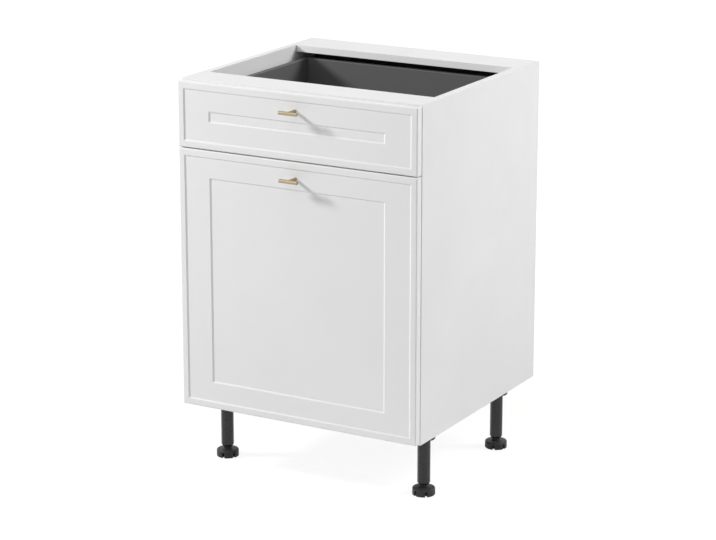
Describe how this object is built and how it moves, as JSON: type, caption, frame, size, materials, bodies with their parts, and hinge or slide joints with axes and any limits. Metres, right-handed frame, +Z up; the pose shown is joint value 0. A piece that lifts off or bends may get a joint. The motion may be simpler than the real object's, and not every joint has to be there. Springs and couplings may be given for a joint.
{
  "type": "kitchen base cabinet",
  "caption": "White kitchen base cabinet with an open top, a shallow framed drawer over a deep pull-out, brass T-knobs and black levelling legs.",
  "frame": {"origin": "on the floor, under the middle of the outline (knobs' front to carcass rear)", "axes": "+X to the user's right, -Y towards the user, +Z up"},
  "size_m": [0.6, 0.6116, 0.9],
  "materials": {
    "white_board": "white melamine-faced particle board, matt",
    "dark_hardboard": "thin hardboard, dark grey foil on the inner face, raw behind",
    "beech": "fluted beech, raw",
    "zinc_casting": "die-cast zinc, dull",
    "white_lacquer": "milled fibreboard with a matt white lacquer",
    "satin_brass": "satin brass",
    "anthracite_steel": "powder-coated steel, fine matt",
    "grey_board": "melamine-faced board, dark grey",
    "clear_rubber": "soft translucent pads",
    "black_plastic": "moulded black plastic",
    "grey_plastic": "moulded dark grey plastic",
    "zinc_steel": "bright zinc-plated steel"
  },
  "bodies": {
    "carcass": {"back_panel": "dark_hardboard", "bottom_panel": "white_board", "cam_bolts": "zinc_steel", "cam_housings": "zinc_casting", "front_top_rail": "white_board", "left_side_panel": "white_board", "leg_plate_back_left": "black_plastic", "leg_plate_back_right": "black_plastic", "leg_plate_front_left": "black_plastic", "leg_plate_front_right": "black_plastic", "leg_plate_screws": "zinc_steel", "leg_tube_back_left": "black_plastic", "leg_tube_back_right": "black_plastic", "leg_tube_front_left": "black_plastic", "leg_tube_front_right": "black_plastic", "lower_cabinet_rails": "zinc_steel", "rear_top_rail": "white_board", "right_side_panel": "white_board", "runner_screws": "zinc_steel", "upper_cabinet_rails": "zinc_steel", "wood_dowels": "beech"},
    "foot_screw_front_left": {"foot_front_left": "black_plastic"},
    "foot_screw_front_right": {"foot_front_right": "black_plastic"},
    "foot_screw_back_left": {"foot_back_left": "black_plastic"},
    "foot_screw_back_right": {"foot_back_right": "black_plastic"},
    "upper_drawer": {"upper_bracket_screws": "zinc_steel", "upper_drawer_back": "anthracite_steel", "upper_drawer_bottom": "grey_board", "upper_drawer_rails": "zinc_steel", "upper_front": "white_lacquer", "upper_front_brackets": "zinc_steel", "upper_front_bumpers": "clear_rubber", "upper_knob_bar": "satin_brass", "upper_knob_post": "satin_brass", "upper_knob_screw": "zinc_steel", "upper_left_drawer_side": "anthracite_steel", "upper_rail_rivets": "zinc_steel", "upper_right_drawer_side": "anthracite_steel"},
    "upper_middle_runner": {"upper_middle_rails": "zinc_steel"},
    "upper_outer_balls": {"upper_outer_ball_cages": "zinc_steel"},
    "upper_inner_balls": {"upper_inner_ball_cages": "zinc_steel"},
    "lower_drawer": {"gallery_rails": "anthracite_steel", "gallery_sockets": "grey_plastic", "lower_bracket_screws": "zinc_steel", "lower_drawer_back": "anthracite_steel", "lower_drawer_bottom": "grey_board", "lower_drawer_rails": "zinc_steel", "lower_front": "white_lacquer", "lower_front_brackets": "zinc_steel", "lower_front_bumpers": "clear_rubber", "lower_knob_bar": "satin_brass", "lower_knob_post": "satin_brass", "lower_knob_screw": "zinc_steel", "lower_left_drawer_side": "anthracite_steel", "lower_rail_rivets": "zinc_steel", "lower_right_drawer_side": "anthracite_steel"},
    "lower_middle_runner": {"lower_middle_rails": "zinc_steel"},
    "lower_outer_balls": {"lower_outer_ball_cages": "zinc_steel"},
    "lower_inner_balls": {"lower_inner_ball_cages": "zinc_steel"}
  },
  "joints": [
    {"name": "upper_drawer_slide", "type": "slide", "parent": "carcass", "child": "upper_drawer", "axis": [0, -1, 0], "range_m": [0, 0.46]},
    {"name": "upper_middle_runner_slide", "type": "slide", "parent": "carcass", "child": "upper_middle_runner", "axis": [0, -1, 0], "range_m": [0, 0.23]},
    {"name": "upper_outer_balls_slide", "type": "slide", "parent": "carcass", "child": "upper_outer_balls", "axis": [0, -1, 0], "range_m": [0, 0.115]},
    {"name": "upper_inner_balls_slide", "type": "slide", "parent": "carcass", "child": "upper_inner_balls", "axis": [0, -1, 0], "range_m": [0, 0.345]},
    {"name": "lower_drawer_slide", "type": "slide", "parent": "carcass", "child": "lower_drawer", "axis": [0, -1, 0], "range_m": [0, 0.46]},
    {"name": "lower_middle_runner_slide", "type": "slide", "parent": "carcass", "child": "lower_middle_runner", "axis": [0, -1, 0], "range_m": [0, 0.23]},
    {"name": "lower_outer_balls_slide", "type": "slide", "parent": "carcass", "child": "lower_outer_balls", "axis": [0, -1, 0], "range_m": [0, 0.115]},
    {"name": "lower_inner_balls_slide", "type": "slide", "parent": "carcass", "child": "lower_inner_balls", "axis": [0, -1, 0], "range_m": [0, 0.345]},
    {"name": "foot_front_left_screw", "type": "slide", "parent": "carcass", "child": "foot_screw_front_left", "axis": [0, 0, -1], "range_m": [0, 0.02]},
    {"name": "foot_front_right_screw", "type": "slide", "parent": "carcass", "child": "foot_screw_front_right", "axis": [0, 0, -1], "range_m": [0, 0.02]},
    {"name": "foot_back_left_screw", "type": "slide", "parent": "carcass", "child": "foot_screw_back_left", "axis": [0, 0, -1], "range_m": [0, 0.02]},
    {"name": "foot_back_right_screw", "type": "slide", "parent": "carcass", "child": "foot_screw_back_right", "axis": [0, 0, -1], "range_m": [0, 0.02]}
  ],
  "couplings": [
    {"joint": "upper_middle_runner_slide", "follows": "upper_drawer_slide", "ratio": 0.5},
    {"joint": "upper_outer_balls_slide", "follows": "upper_drawer_slide", "ratio": 0.25},
    {"joint": "upper_inner_balls_slide", "follows": "upper_drawer_slide", "ratio": 0.75},
    {"joint": "lower_middle_runner_slide", "follows": "lower_drawer_slide", "ratio": 0.5},
    {"joint": "lower_outer_balls_slide", "follows": "lower_drawer_slide", "ratio": 0.25},
    {"joint": "lower_inner_balls_slide", "follows": "lower_drawer_slide", "ratio": 0.75}
  ]
}
